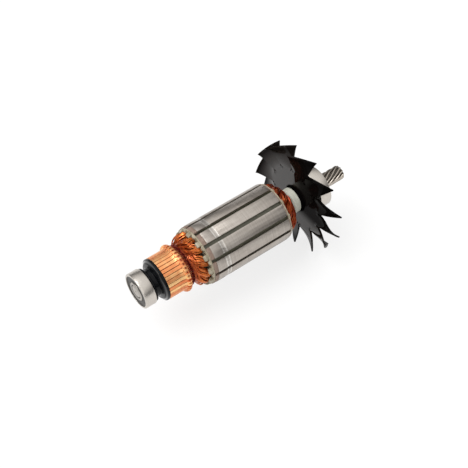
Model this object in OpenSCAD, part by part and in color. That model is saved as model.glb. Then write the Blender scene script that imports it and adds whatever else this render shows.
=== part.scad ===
// Wound armature of a universal motor for a hand power tool.
//
// The shaft runs along +X, from the commutator end to the pinion end. The
// origin is on the shaft axis, at the middle of the front bearing's width.
// Every turned piece is drawn upright along Z and laid onto the shaft line at
// the end, so "height" in the modules is distance along the shaft.

/* [Bearings] */
// Bore of the front bearing, at the commutator end
front_bore = 8; // [7:0.5:8]
// Outside diameter of the front bearing
front_od = 22; // [21:0.5:23]
// Width of the front bearing
front_w = 7; // [6:0.5:9]
// Ball diameter of the front bearing
front_ball = 3.969; // [3.5:0.1:4]
// Bore of the rear bearing, at the pinion end
rear_bore = 10; // [9:0.5:10]
// Outside diameter of the rear bearing
rear_od = 26; // [25:0.5:28]
// Width of the rear bearing
rear_w = 8; // [7:0.5:9]
// Ball diameter of the rear bearing
rear_ball = 4.7625; // [4.2:0.1:4.8]
// Number of balls in each bearing
balls = 7; // [5:1:7]
// Free play between a ball and its raceways, on the radius
ball_play = 0.04; // [0.02:0.01:0.08]

/* [Shaft] */
// Diameter under the commutator and the dust shield
comm_seat_d = 10; // [9.5:0.1:10.4]
// Diameter under the lamination stack and the fan
core_d = 11; // [10.5:0.1:11.4]
// Diameter of the shoulder that the rear bearing seats against
shoulder_d = 13; // [12:0.5:13.5]
// Length of that shoulder
shoulder_len = 3.8; // [2:0.2:6]
// Depth of the cone drilled in each end for the lathe centres
centre_depth = 1.3; // [0.5:0.1:2]
// Diameter of that cone at the face
centre_d = 1.5; // [1:0.1:2.5]

/* [Pinion] */
// Number of helical teeth cut into the shaft's end
pinion_teeth = 11; // [8:1:13]
// Diameter over the teeth
pinion_od = 9.2; // [8.5:0.1:9.8]
// Depth of the teeth
pinion_depth = 1.15; // [0.8:0.05:1.4]
// Length of the toothed part
pinion_len = 15.6; // [10:0.5:22]
// Turn of the teeth, in degrees for each millimetre of length
pinion_lead = 6.9; // [4:0.1:9]
// Length of the plain neck between the rear bearing and the teeth
pinion_neck = 1.7; // [1:0.1:3]

/* [Dust shield] */
// Distance from the front bearing to the commutator bars
shield_len = 7.6; // [7:0.1:10]
// Diameter of the shield's flange
shield_od = 26.4; // [25:0.1:27.5]
// Diameter of the thin ring that faces the bearing
shield_ring_d = 20.6; // [19:0.1:21]
// Diameter of the waist between the ring and the flange
shield_waist_d = 16.8; // [15:0.1:18]

/* [Commutator] */
// Number of copper bars
bars = 36; // [24:1:36]
// Diameter of the brush track
comm_od = 26.3; // [25.5:0.1:27]
// Length of the brush track
track_len = 8.7; // [7:0.1:14]
// Length of the riser and hook zone behind the track
riser_len = 7.9; // [7:0.1:10]
// Height that the risers stand above the track, on the radius
riser_lift = 1.3; // [0.6:0.1:2]
// Width of the gap between two bars at the track
bar_gap = 0.5; // [0.3:0.05:0.7]
// Depth of a bar above its dovetail foot
bar_depth = 3.2; // [2.6:0.1:3.6]
// Depth that the mica is undercut below the track
mica_undercut = 0.8; // [0.4:0.1:1.4]
// Outside diameter of the steel bush in the commutator's bore
bush_od = 13; // [12.4:0.1:14]

/* [Lamination stack] */
// Outside diameter of the stack
stack_od = 37; // [36.4:0.1:37.6]
// Length of the stack
stack_len = 51.4; // [40:0.2:80]
// Number of slots, teeth and coils
slots = 12; // [12:1:12]
// Width of a slot's mouth at the stack's surface
mouth_w = 2.2; // [1.6:0.1:2.6]
// Radius of the slot's rounded floor
floor_r = 1.25; // [1.2:0.01:1.35]
// Distance from the shaft's axis to the slot's floor
floor_depth_r = 10.6; // [10.5:0.05:10.7]
// Width of a slot at its widest, just under the mouth
slot_w = 4.8; // [4.6:0.1:5]
// Width of the ground balancing band round the stack
band_w = 3; // [1:0.5:6]
// Distance from the stack's front face to that band
band_at = 6; // [4:0.5:30]
// Depth of that band
band_depth = 0.12; // [0.05:0.01:0.3]

/* [Insulation] */
// Outside diameter of the moulded sleeve between the shaft and the stack
sleeve_od = 15.2; // [14.8:0.1:15.4]
// Diameter of the sleeve's collar in front of the fan
sleeve_collar_d = 15.8; // [15.4:0.1:16]
// Thickness of the paper that lines each slot
liner_t = 0.25; // [0.15:0.01:0.3]
// Length that the liners stand out of the insulator at each end
liner_over = 0.5; // [0.3:0.1:0.8]
// Length that the slot wedges stand out of the insulator at each end
wedge_over = 0.4; // [0.2:0.1:0.8]
// Thickness of the fibre plate on the stack's front end
front_plate_t = 2.4; // [1.6:0.1:3]
// Thickness of the fibre plate on the stack's rear end
rear_plate_t = 0.6; // [0.4:0.1:1.2]
// Thickness of the moulded insulator on each fibre plate
insulator_t = 0.8; // [0.6:0.1:1]
// Height of the insulator's hoods over the slot mouths, above its plate
hood_h = 1.8; // [1.4:0.1:2]
// Width of each hood
hood_w = 3.6; // [3:0.1:4]
// Diameter over the insulator
insulator_od = 36; // [35.6:0.1:36.4]

/* [Winding] */
// Distance from the commutator bars to the stack's front face
front_room = 13; // [12.8:0.1:16]
// Distance from the stack's rear face to the fan's hub
rear_room = 16.8; // [15:0.1:20]
// Slots spanned by one coil
coil_throw = 5; // [5:1:5]
// Diameter of one lead from a coil to its commutator hook
lead_d = 0.9; // [0.6:0.1:1]

/* [Fan] */
// Number of petals
petals = 12; // [8:1:14]
// Diameter over the petals
fan_od = 70; // [62:1:76]
// Diameter of the disc that carries the petals
fan_disc_d = 43.4; // [40:0.2:48]
// Thickness of the disc
fan_disc_t = 1.5; // [1.3:0.1:2.5]
// Distance from the hub's front face to the disc's front face
fan_disc_at = 1.5; // [1:0.1:2.5]
// Diameter of the hub
fan_hub_d = 15.8; // [15:0.1:18]
// Length of the hub along the shaft
fan_hub_len = 7.1; // [5:0.1:9]
// Pitch angle of a petal at its tip
petal_pitch = 34.5; // [15:0.5:42]
// Angle that a petal's tip spans round the shaft
petal_span = 24; // [18:0.5:26]
// Distance that the tips are swept towards the pinion
petal_sweep = 1; // [0:0.1:3]
// Thickness of a petal at its root
petal_root_t = 1.2; // [1:0.1:1.25]
// Thickness of a petal at its tip
petal_tip_t = 0.9; // [0.7:0.1:1.1]

/* [Assembly] */
// Turn of the rotor about the shaft, as the armature is at rest
rotor_turn = 26; // [0:1:30]
// Turn of the commutator from the slots
bar_turn = -23.6; // [-30:0.2:10]
// Turn of the fan from the slots
fan_turn = 6; // [0:1:30]
// Clearance between pieces that seat in each other
fit = 0.02; // [0.01:0.01:0.04]

/* [Hidden] */

facets = 96;
slot_pitch = 360 / slots;

// Stations along the shaft, from the front bearing's outer face
at_shield = front_w;
at_bars = at_shield + shield_len;
bars_len = track_len + riser_len;
at_front_coils = at_bars + bars_len;
at_stack = at_front_coils + front_room;
at_rear_coils = at_stack + stack_len;
at_fan = at_rear_coils + rear_room;
at_shoulder = at_fan + fan_hub_len;
at_rear_bearing = at_shoulder + shoulder_len;
at_neck = at_rear_bearing + rear_w;
at_pinion = at_neck + pinion_neck;
at_end = at_pinion + pinion_len;
at_core = at_front_coils + 2;

// Faces of the two insulators, which the end turns stand on
at_front_face = at_stack - front_plate_t - insulator_t;
at_rear_face = at_rear_coils + rear_plate_t + insulator_t;

// Radii that several pieces share
front_pitch_r = (front_bore + front_od) / 4;
rear_pitch_r = (rear_bore + rear_od) / 4;
stack_r = stack_od / 2;
track_r = comm_od / 2;
riser_r = track_r + riser_lift;
foot_r = track_r - bar_depth;
pinion_r = pinion_od / 2;

// Copper, steel and insulation colours
steel = [0.68, 0.66, 0.64];
bright_steel = [0.80, 0.78, 0.76];
copper = [0.88, 0.58, 0.36];
enamel = [0.75, 0.40, 0.15];
black_plastic = [0.10, 0.10, 0.11];
cream_plastic = [0.74, 0.71, 0.62];
fibre = [0.50, 0.40, 0.34];
rubber = [0.28, 0.26, 0.24];
dark_lead = [0.38, 0.10, 0.12];

// ---------- shared helpers ----------

// Lays an upright piece onto the shaft line, with the front bearing centred
// on the origin
module on_shaft() {
    translate([-front_w / 2, 0, 0]) rotate([0, 90, 0]) children();
}

// Lays an upright piece of the rotor onto the shaft line at its rest turn
module on_rotor(turn = 0) {
    on_shaft() rotate([0, 0, rotor_turn + turn]) children();
}

// Turned piece from an outline of [radius, height] points
module turned(outline) {
    rotate_extrude($fn = facets) polygon(outline);
}

// Part of a turned piece, centred on the angle 0
module turned_sector(outline, angle) {
    rotate([0, 0, -angle / 2]) rotate_extrude(angle = angle, $fn = facets) polygon(outline);
}

// Copies children to the angle of every slot
module per_slot() {
    for (i = [0:slots - 1]) rotate([0, 0, i * slot_pitch]) children();
}

function mix(a, b, t) = a + (b - a) * t;
function polar(r, a, z) = [r * cos(a), r * sin(a), z];
function unit(v) = v / norm(v);

// ---------- shaft with its helical pinion ----------

// One tooth of the pinion's cross-section: root, flank, rounded tip, flank
function tooth_outline(i) = let (
    step = 360 / pinion_teeth,
    root = pinion_r - pinion_depth
) [
    for (k = [[-0.36, 0], [-0.27, 0.35], [-0.17, 0.85], [-0.08, 1], [0.08, 1], [0.17, 0.85],
              [0.27, 0.35], [0.36, 0]])
        let (r = root + pinion_depth * k[1], a = step * (i + k[0])) [r * cos(a), r * sin(a)]
];

module pinion_gear() {
    outline = [for (i = [0:pinion_teeth - 1]) each tooth_outline(i)];
    lead_in = 1.1;
    intersection() {
        linear_extrude(height = pinion_len, twist = pinion_lead * pinion_len,
                       slices = ceil(pinion_len)) polygon(outline);
        turned([[0, -1], [pinion_r - pinion_depth, -1], [pinion_r + 0.1, 0.4],
                [pinion_r + 0.1, pinion_len - lead_in],
                [pinion_r - pinion_depth * 0.9, pinion_len - 0.05], [0, pinion_len - 0.05]]);
    }
}

module shaft() {
    chamfer = 0.4;
    front_r = front_bore / 2;
    rear_r = rear_bore / 2;
    root_r = pinion_r - pinion_depth;
    color(steel) on_rotor() {
        difference() {
            union() {
                turned([
                    [0, 0], [front_r - chamfer, 0], [front_r, chamfer], [front_r, at_shield],
                    [comm_seat_d / 2, at_shield], [comm_seat_d / 2, at_core],
                    [core_d / 2, at_core], [core_d / 2, at_shoulder],
                    [shoulder_d / 2, at_shoulder], [shoulder_d / 2, at_rear_bearing],
                    [rear_r, at_rear_bearing], [rear_r, at_neck + 0.2],
                    [root_r - 0.1, at_neck + 0.8], [root_r - 0.1, at_pinion + 0.5],
                    [0, at_pinion + 0.5]
                ]);
                translate([0, 0, at_pinion]) pinion_gear();
            }
            turned([[0, -1], [centre_d / 2 + 0.5, -1], [centre_d / 2, 0], [0, centre_depth]]);
        }
    }
}

module shaft_sleeve() {
    collar_len = 4;
    inner = core_d / 2 + fit;
    outer = sleeve_od / 2;
    collar = sleeve_collar_d / 2;
    color(cream_plastic) on_rotor() turned([
        [inner, at_core + 0.2], [outer - 0.5, at_core + 0.2], [outer, at_core + 0.7],
        [outer, at_fan - collar_len], [collar, at_fan - collar_len + 0.4],
        [collar, at_fan - 0.5], [collar - 0.4, at_fan - fit], [inner, at_fan - fit]
    ]);
}

// ---------- lamination stack ----------

// Half width of a slot at a distance from the axis, less an inset
function slot_half(r, inset) = let (
    r0 = floor_depth_r + floor_r,
    r1 = stack_r - 2.4
) mix(floor_r, slot_w / 2, (r - r0) / (r1 - r0)) - inset;

// The slot's floor and sides from one top corner round to the other, about
// the +X direction, with an inset all round
function slot_path(top_r, inset) = let (centre = floor_depth_r + floor_r) concat(
    [[top_r, slot_half(top_r, inset)]],
    [for (a = [90:22.5:270]) [centre + (floor_r - inset) * cos(a), (floor_r - inset) * sin(a)]],
    [[top_r, -slot_half(top_r, inset)]]
);

// The whole slot with its shoulders and open mouth
module slot_cut() {
    top_r = stack_r - 2.4;
    lip_r = stack_r - 1.7;
    polygon(concat(
        slot_path(top_r, 0),
        [[lip_r, -mouth_w / 2], [stack_r + 1, -mouth_w / 2],
         [stack_r + 1, mouth_w / 2], [lip_r, mouth_w / 2]]
    ));
}

// Outline of a lamination, an end plate or an insulator
module lamination(outer_r, bore_r) {
    difference() {
        circle(r = outer_r, $fn = facets);
        circle(r = bore_r, $fn = facets);
        per_slot() slot_cut();
    }
}

module lamination_stack() {
    color(steel) on_rotor() translate([0, 0, at_stack]) difference() {
        linear_extrude(height = stack_len) lamination(stack_r, sleeve_od / 2 + fit);
        turned([[stack_r - band_depth, band_at], [stack_r + 1, band_at],
                [stack_r + 1, band_at + band_w], [stack_r - band_depth, band_at + band_w]]);
    }
}

module end_plate(thickness) {
    linear_extrude(height = thickness) lamination(stack_r - 0.2, sleeve_od / 2 + fit);
}

module front_end_plate() {
    color(fibre) on_rotor() translate([0, 0, at_stack - front_plate_t]) end_plate(front_plate_t);
}

module rear_end_plate() {
    color(fibre) on_rotor() translate([0, 0, at_rear_coils]) end_plate(rear_plate_t);
}

// Moulded insulator: a slotted plate with a rounded hood over each slot's
// mouth. It stands on height 0 and rises along +Z.
module end_insulator() {
    outer = insulator_od / 2;
    hood_in = wedge_top_r + 0.1;
    hood_r = hood_w / 2;
    union() {
        linear_extrude(height = insulator_t) lamination(outer, sleeve_od / 2 + fit);
        intersection() {
            per_slot() translate([hood_in, 0, hood_h - hood_r]) rotate([0, 90, 0]) {
                cylinder(h = 5, r = hood_r, $fn = 48);
                translate([0, -hood_r, 0]) cube([hood_r, 2 * hood_r, 5]);
            }
            turned([[0, 0], [outer, 0], [outer, hood_h - 0.9], [outer - 0.25, hood_h - 0.35],
                    [outer - 0.8, hood_h], [0, hood_h]]);
        }
    }
}

module front_end_insulator() {
    color(cream_plastic) on_rotor() translate([0, 0, at_stack - front_plate_t])
        mirror([0, 0, 1]) end_insulator();
}

module rear_end_insulator() {
    color(cream_plastic) on_rotor() translate([0, 0, at_rear_coils + rear_plate_t])
        end_insulator();
}

// U-shaped papers, one in each slot
module slot_liners() {
    top_r = stack_r - 2.45;
    outer = slot_path(top_r, fit);
    inner = slot_path(top_r, fit + liner_t);
    back = [for (i = [len(inner) - 1:-1:0]) inner[i]];
    color(fibre) on_rotor() translate([0, 0, at_front_face - liner_over]) per_slot()
        linear_extrude(height = at_rear_face - at_front_face + 2 * liner_over)
            polygon(concat(outer, back));
}

// Strips that close the slots under their lips
wedge_t = 0.65;
wedge_top_r = stack_r - 2.5;

module slot_wedges() {
    inset = fit + liner_t + 0.06;
    low = wedge_top_r - wedge_t;
    wide_top = slot_half(wedge_top_r, inset);
    wide_low = slot_half(low, inset);
    color(cream_plastic) on_rotor() translate([0, 0, at_front_face - wedge_over]) per_slot()
        linear_extrude(height = at_rear_face - at_front_face + 2 * wedge_over)
            polygon([[low, -wide_low], [low, wide_low], [wedge_top_r, wide_top],
                     [wedge_top_r, -wide_top]]);
}

// ---------- coils ----------

// Upper and lower half of a slot, inside its liner and under its wedge
coil_play = 0.1;
slot_low_r = floor_depth_r + fit + liner_t + 0.26;
slot_high_r = wedge_top_r - wedge_t - coil_play;
layer_h = (slot_high_r - slot_low_r - coil_play) / 4;
upper_r = slot_high_r - layer_h;
lower_r = slot_low_r + layer_h;
upper_w = slot_half(upper_r, fit + liner_t + coil_play) - 0.1;
lower_w = slot_half(lower_r, fit + liner_t + coil_play) - 0.05;

// The end turn runs from its first slot down the winding's cone to the neck,
// wraps round the sleeve there, and comes back under the other coils to the
// slot that its other side lies in. Rows hold [angle back from the first slot,
// radius, height over the insulator's face, half width, half thickness, lean
// of the bundle's face towards the shaft's end].
coil_angle = coil_throw * slot_pitch;
turn_w = upper_w * 1.25;
turn_h = layer_h * 0.55;
wrap_h = layer_h * 0.42;
crest_r = upper_r * 1.08;
crest_z = liner_over + turn_w;
wrap_r = sleeve_od / 2 + 10.2 * wrap_h;
wrap_z = front_room - front_plate_t - insulator_t - turn_w - 1.7 * lead_d;
return_r = sleeve_od / 2 + 1.6 * wrap_h;
cone_lean = 0.8;
cone_share = 0.3;
wrap_share = 0.82;

// A share t of the way down the cone, and a share t of the wrap at the neck
function cone_row(t) = [
    coil_angle * mix(0.03, cone_share, t), mix(crest_r, wrap_r, t),
    mix(crest_z, wrap_z, sin(90 * t)), turn_w * mix(1, 0.9, t), mix(turn_h, wrap_h, t),
    cone_lean * (1 - t)
];
function wrap_row(t) = [
    coil_angle * mix(cone_share, wrap_share, t), mix(wrap_r, return_r, t),
    wrap_z - turn_w * 0.4 * t * t, turn_w * 0.9, wrap_h, 0
];

end_turn = concat(
    [
        [0, upper_r, -1, upper_w, layer_h, 0],
        [0, upper_r, liner_over + 0.3, upper_w, layer_h, 0]
    ],
    [for (t = [0:0.2:0.9]) cone_row(t)],
    [for (t = [0:0.2:1]) wrap_row(t)],
    [
        [coil_angle * 0.86, return_r, mix(wrap_z, crest_z, 0.5), turn_w * 0.8, wrap_h, 0],
        [coil_angle * 0.93, return_r, mix(wrap_z, crest_z, 0.9), turn_w * 0.7, wrap_h, 0],
        [coil_angle, mix(return_r, lower_r, 0.25), crest_z + wrap_h * 2, lower_w, wrap_h, 0],
        [coil_angle, mix(return_r, lower_r, 0.85), liner_over + layer_h, lower_w, layer_h * 0.6, 0],
        [coil_angle, lower_r, liner_over + 0.15, lower_w, layer_h, 0],
        [coil_angle, lower_r, -1, lower_w, layer_h, 0]
    ]
);

// The closed loop of one coil: forward end turn, then the rear one backwards
coil_rows = concat(
    [for (row = end_turn) [row[0], row[1], at_front_face - row[2], row[3], row[4], -row[5]]],
    [for (i = [len(end_turn) - 1:-1:0]) let (row = end_turn[i])
        [row[0], row[1], at_rear_face + row[2], row[3], row[4], row[5]]]
);

// Eight corners of the bundle's section, as shares of half width and thickness
section = [[1, 0.5], [0.5, 1], [-0.5, 1], [-1, 0.5], [-1, -0.5], [-0.5, -1], [0.5, -1], [1, -0.5]];

function row_point(row) = polar(row[1], -row[0], row[2]);

function coil_ring(i) = let (
    n = len(coil_rows),
    row = coil_rows[i],
    here = row_point(row),
    along = unit(row_point(coil_rows[(i + 1) % n]) - row_point(coil_rows[(i + n - 1) % n])),
    out = polar(1, -row[0], row[5]),
    high = unit(out - (out * along) * along),
    wide = cross(along, high)
) [for (s = section) here + wide * (s[0] * row[3]) + high * (s[1] * row[4])];

module coil(index) {
    n = len(coil_rows);
    m = len(section);
    points = [for (i = [0:n - 1]) each coil_ring(i)];
    faces = [for (i = [0:n - 1], j = [0:m - 1]) let (
        a = i * m + j,
        b = i * m + (j + 1) % m,
        c = ((i + 1) % n) * m + j,
        d = ((i + 1) % n) * m + (j + 1) % m
    ) each [[a, b, d], [a, d, c]]];
    color(enamel) on_rotor((index - 1) * slot_pitch) polyhedron(points, faces);
}

// ---------- commutator ----------

riser_start = track_len;
crest_at = track_len + riser_len * 0.42;
foot_low_r = foot_r - 1.3;

// Front and rear ends of the dovetail foot, under the bars
foot_in = 2.2;

// Outline of one bar: brush track, riser, hook crest and dovetail foot
bar_outline = [
    [foot_r, 0], [track_r - 0.3, 0], [track_r, 0.3], [track_r, riser_start],
    [riser_r - 0.35, crest_at - 0.6], [riser_r, crest_at + 0.1], [riser_r, crest_at + 1.1],
    [riser_r - 0.4, crest_at + 1.9], [riser_r - 1.5, bars_len - 1.1], [riser_r - 2.6, bars_len],
    [foot_r, bars_len], [foot_r, bars_len - foot_in], [foot_low_r, bars_len - foot_in - 0.9],
    [foot_low_r, foot_in + 0.9], [foot_r, foot_in]
];

// Hook tang that is folded back over its lead, on top of the riser
hook_outline = let (r = 1.15, centre = [riser_r - 0.55, crest_at + 0.6]) [
    for (a = [-40:20:200]) [centre[0] + r * cos(a), centre[1] + 2 * r * sin(a) * 0.75]
];

bar_angle = 360 / bars - bar_gap / track_r * 180 / PI;

module commutator_bars() {
    hook_share = 0.52;
    color(copper) on_rotor(bar_turn) translate([0, 0, at_bars])
        for (i = [0:bars - 1]) rotate([0, 0, i * 360 / bars]) {
            turned_sector(bar_outline, bar_angle);
            turned_sector(hook_outline, bar_angle * hook_share);
        }
}

// Mica between the bars, undercut below the brush track
module mica_segments() {
    top = track_r - mica_undercut;
    side_play = 0.04;
    outline = [
        [foot_r, 0.1], [top, 0.1], [top, bars_len - 1.2], [foot_r + 1, bars_len - 0.1],
        [foot_r, bars_len - 0.1]
    ];
    color(fibre) on_rotor(bar_turn + 180 / bars) translate([0, 0, at_bars])
        for (i = [0:bars - 1]) rotate([0, 0, i * 360 / bars])
            turned_sector(outline, 360 / bars - bar_angle - side_play / foot_r * 180 / PI);
}

// Moulded core that grips the dovetail feet of the bars
module commutator_hub() {
    bush_r = bush_od / 2;
    color(black_plastic) on_rotor() translate([0, 0, at_bars]) turned([
        [bush_r + fit, 0], [foot_r - fit, 0], [foot_r - fit, foot_in - fit],
        [foot_low_r - fit, foot_in + 0.9 - fit],
        [foot_low_r - fit, bars_len - foot_in - 0.9 + fit],
        [foot_r - fit, bars_len - foot_in + fit], [foot_r - fit, bars_len],
        [foot_r - 0.8, bars_len + 0.4], [bush_r + fit, bars_len + 0.4]
    ]);
}

module commutator_bush() {
    inner = comm_seat_d / 2 + fit;
    color(steel) on_rotor() translate([0, 0, at_bars]) turned([
        [inner, 0], [bush_od / 2, 0], [bush_od / 2, bars_len + 0.4], [inner, bars_len + 0.4]
    ]);
}

// Leads from the hooks of the commutator down to the coils
module coil_leads() {
    lead_at = at_front_coils + lead_d / 2 + 0.05;
    start = polar(foot_r + 2, 0, lead_at);
    finish = polar(foot_r + 1.5, 0.84 * 360 / bars, lead_at + lead_d * 0.8);
    along = finish - start;
    color(dark_lead) on_rotor(bar_turn)
        for (i = [0:bars - 1]) rotate([0, 0, i * 360 / bars]) translate(start)
            rotate([0, acos(along[2] / norm(along)), atan2(along[1], along[0])])
                cylinder(h = norm(along), d = lead_d, $fn = 16);
}

// ---------- dust shield ----------

// Waisted washer that keeps brush dust out of the front bearing
module dust_shield() {
    gap = 0.45;
    ring_r = shield_ring_d / 2;
    waist_r = shield_waist_d / 2;
    rim_r = shield_od / 2;
    bore_r = comm_seat_d / 2 + fit;
    face_r = front_pitch_r - front_ball * land_share - 0.3;
    color(black_plastic) on_rotor() translate([0, 0, at_shield]) turned([
        [bore_r, 0], [face_r, 0], [face_r, gap],
        [ring_r - 0.25, gap], [ring_r, gap + 0.25], [ring_r, gap + 0.9],
        [ring_r - 0.3, gap + 1.2], [waist_r + 0.3, gap + 1.3], [waist_r, gap + 1.6],
        [waist_r, gap + 2.9], [waist_r + 0.5, gap + 3.3], [rim_r - 1.4, shield_len - 2.3],
        [rim_r - 0.25, shield_len - 1.3], [rim_r, shield_len - 1.05],
        [rim_r, shield_len - 0.35], [rim_r - 0.2, shield_len - fit],
        [bore_r, shield_len - fit]
    ]);
}

// ---------- fan ----------

fan_mid = fan_disc_at + fan_disc_t / 2;
petal_root_r = fan_disc_d / 2 - 0.9;

// Half the angle that a petal spans at a radius
function petal_half(r) = let (root_gap = 0.85) min(
    180 / petals - root_gap / r * 180 / PI,
    mix(180 / petals - 1.5, petal_span / 2, (r - petal_root_r) / (fan_od / 2 - petal_root_r))
);

// A point of a petal: share q from root to tip, share v across, side -1 or 1
function petal_point(q, v, side) = let (
    r = mix(petal_root_r, fan_od / 2, q),
    lift = max(0, (r - fan_disc_d / 2) / (fan_od / 2 - fan_disc_d / 2)),
    pitch = petal_pitch * lift,
    angle = v * petal_half(r),
    thick = mix(petal_root_t, petal_tip_t, q) / 2 / cos(pitch),
    arc = r * angle * PI / 180
) polar(r, angle, fan_mid + petal_sweep * lift + arc * tan(pitch) + side * thick);

module petal() {
    rows = 7;
    columns = 4;
    row = columns + 1;
    sheet = (rows + 1) * row;
    points = [for (side = [-1, 1], i = [0:rows], j = [0:columns])
        petal_point(i / rows, 2 * j / columns - 1, side)];
    back = [for (i = [0:rows - 1], j = [0:columns - 1]) let (a = i * row + j)
        each [[a, a + row, a + row + 1], [a, a + row + 1, a + 1]]];
    front = [for (i = [0:rows - 1], j = [0:columns - 1]) let (a = sheet + i * row + j)
        each [[a, a + row + 1, a + row], [a, a + 1, a + row + 1]]];
    rim = concat(
        [for (j = [0:columns]) j],
        [for (i = [1:rows]) i * row + columns],
        [for (j = [columns - 1:-1:0]) rows * row + j],
        [for (i = [rows - 1:-1:1]) i * row]
    );
    n = len(rim);
    edge = [for (k = [0:n - 1]) let (a = rim[k], b = rim[(k + 1) % n])
        each [[a, b, b + sheet], [a, b + sheet, a + sheet]]];
    polyhedron(points, concat(back, front, edge));
}

module fan() {
    bore_r = core_d / 2 + fit;
    hub_r = fan_hub_d / 2;
    disc_r = fan_disc_d / 2;
    slit_hole_r = 0.75;
    color(black_plastic) on_rotor(fan_turn) translate([0, 0, at_fan]) union() {
        difference() {
            turned([
                [bore_r, 0], [hub_r - 0.3, 0], [hub_r, 0.3], [hub_r, fan_disc_at],
                [disc_r, fan_disc_at], [disc_r, fan_disc_at + fan_disc_t],
                [hub_r + 1.2, fan_disc_at + fan_disc_t], [hub_r, fan_disc_at + fan_disc_t + 1.2],
                [hub_r, fan_hub_len - 0.3], [hub_r - 0.3, fan_hub_len - fit],
                [bore_r, fan_hub_len - fit]
            ]);
            for (i = [0:petals - 1]) rotate([0, 0, (i + 0.5) * 360 / petals])
                translate([disc_r, 0, 0]) cylinder(h = fan_hub_len, r = slit_hole_r, $fn = 24);
        }
        for (i = [0:petals - 1]) rotate([0, 0, i * 360 / petals]) petal();
    }
}

// ---------- ball bearings ----------

// The lands of the rings stand off the ball's pitch circle by this share of
// the ball's diameter
land_share = 0.4;
seal_in = 0.2;
seal_t = 0.7;
seal_step = 0.6;
ring_edge = 0.4;

module outer_ring(od, w, pitch_r, ball) {
    land = pitch_r + ball * land_share;
    seat = land + seal_step;
    step = seal_in + seal_t + fit;
    difference() {
        turned([
            [seat, 0], [od / 2 - ring_edge, 0], [od / 2, ring_edge], [od / 2, w - ring_edge],
            [od / 2 - ring_edge, w], [seat, w], [seat, w - step], [land, w - step],
            [land, step], [seat, step]
        ]);
        raceway(w, pitch_r, ball);
    }
}

module inner_ring(bore, w, pitch_r, ball) {
    land = pitch_r - ball * land_share;
    edge = 0.3;
    difference() {
        turned([
            [bore / 2 + fit, edge], [bore / 2 + fit + edge, 0], [land - edge, 0], [land, edge],
            [land, w - edge], [land - edge, w], [bore / 2 + fit + edge, w],
            [bore / 2 + fit, w - edge]
        ]);
        raceway(w, pitch_r, ball);
    }
}

// Groove that the balls run in
module raceway(w, pitch_r, ball) {
    translate([0, 0, w / 2]) rotate_extrude($fn = facets) translate([pitch_r, 0])
        circle(r = ball / 2 + ball_play, $fn = 48);
}

module ball_set(w, pitch_r, ball) {
    for (i = [0:balls - 1]) rotate([0, 0, i * 360 / balls]) translate([pitch_r, 0, w / 2])
        sphere(d = ball, $fn = 32);
}

// Crown cage: a ring beside the balls, with open pockets that hold them
module ball_cage(w, pitch_r, ball) {
    open_side = ball * 0.22;
    closed_side = w / 2 - seal_in - seal_t - 0.12;
    half_t = ball * 0.17;
    pocket_play = 0.08;
    difference() {
        turned([
            [pitch_r - half_t, w / 2 - open_side], [pitch_r + half_t, w / 2 - open_side],
            [pitch_r + half_t, w / 2 + closed_side], [pitch_r - half_t, w / 2 + closed_side]
        ]);
        for (i = [0:balls - 1]) rotate([0, 0, i * 360 / balls])
            translate([pitch_r, 0, w / 2]) sphere(d = ball + 2 * pocket_play, $fn = 32);
    }
}

// Seal in the outer ring's step, its lip just clear of the inner ring
module bearing_seal(pitch_r, ball) {
    lip_play = 0.12;
    inner = pitch_r - ball * land_share + lip_play;
    outer = pitch_r + ball * land_share + seal_step - fit;
    turned([
        [inner, 0.2], [inner + 0.35, 0], [inner + 0.8, 0], [inner + 1, 0.15],
        [outer - 1, 0.15], [outer - 0.8, 0], [outer, 0], [outer, seal_t], [inner + 0.3, seal_t],
        [inner, seal_t - 0.3]
    ]);
}

module front_bearing_outer_ring() {
    color(bright_steel) on_shaft() outer_ring(front_od, front_w, front_pitch_r, front_ball);
}

module front_bearing_inner_ring() {
    color(bright_steel) on_shaft() inner_ring(front_bore, front_w, front_pitch_r, front_ball);
}

module front_bearing_balls() {
    color(bright_steel) on_shaft() ball_set(front_w, front_pitch_r, front_ball);
}

module front_bearing_cage() {
    color(steel) on_shaft() ball_cage(front_w, front_pitch_r, front_ball);
}

module front_bearing_front_seal() {
    color(rubber) on_shaft() translate([0, 0, seal_in]) bearing_seal(front_pitch_r, front_ball);
}

module front_bearing_rear_seal() {
    color(rubber) on_shaft() translate([0, 0, front_w - seal_in]) mirror([0, 0, 1])
        bearing_seal(front_pitch_r, front_ball);
}

module on_rear_seat() {
    on_shaft() translate([0, 0, at_rear_bearing]) children();
}

module rear_bearing_outer_ring() {
    color(bright_steel) on_rear_seat() outer_ring(rear_od, rear_w, rear_pitch_r, rear_ball);
}

module rear_bearing_inner_ring() {
    color(bright_steel) on_rear_seat() inner_ring(rear_bore, rear_w, rear_pitch_r, rear_ball);
}

module rear_bearing_balls() {
    color(bright_steel) on_rear_seat() ball_set(rear_w, rear_pitch_r, rear_ball);
}

module rear_bearing_cage() {
    color(steel) on_rear_seat() ball_cage(rear_w, rear_pitch_r, rear_ball);
}

module rear_bearing_front_seal() {
    color(rubber) on_rear_seat() translate([0, 0, seal_in]) bearing_seal(rear_pitch_r, rear_ball);
}

module rear_bearing_rear_seal() {
    color(rubber) on_rear_seat() translate([0, 0, rear_w - seal_in]) mirror([0, 0, 1])
        bearing_seal(rear_pitch_r, rear_ball);
}

// ---------- the nodes ----------

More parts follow.
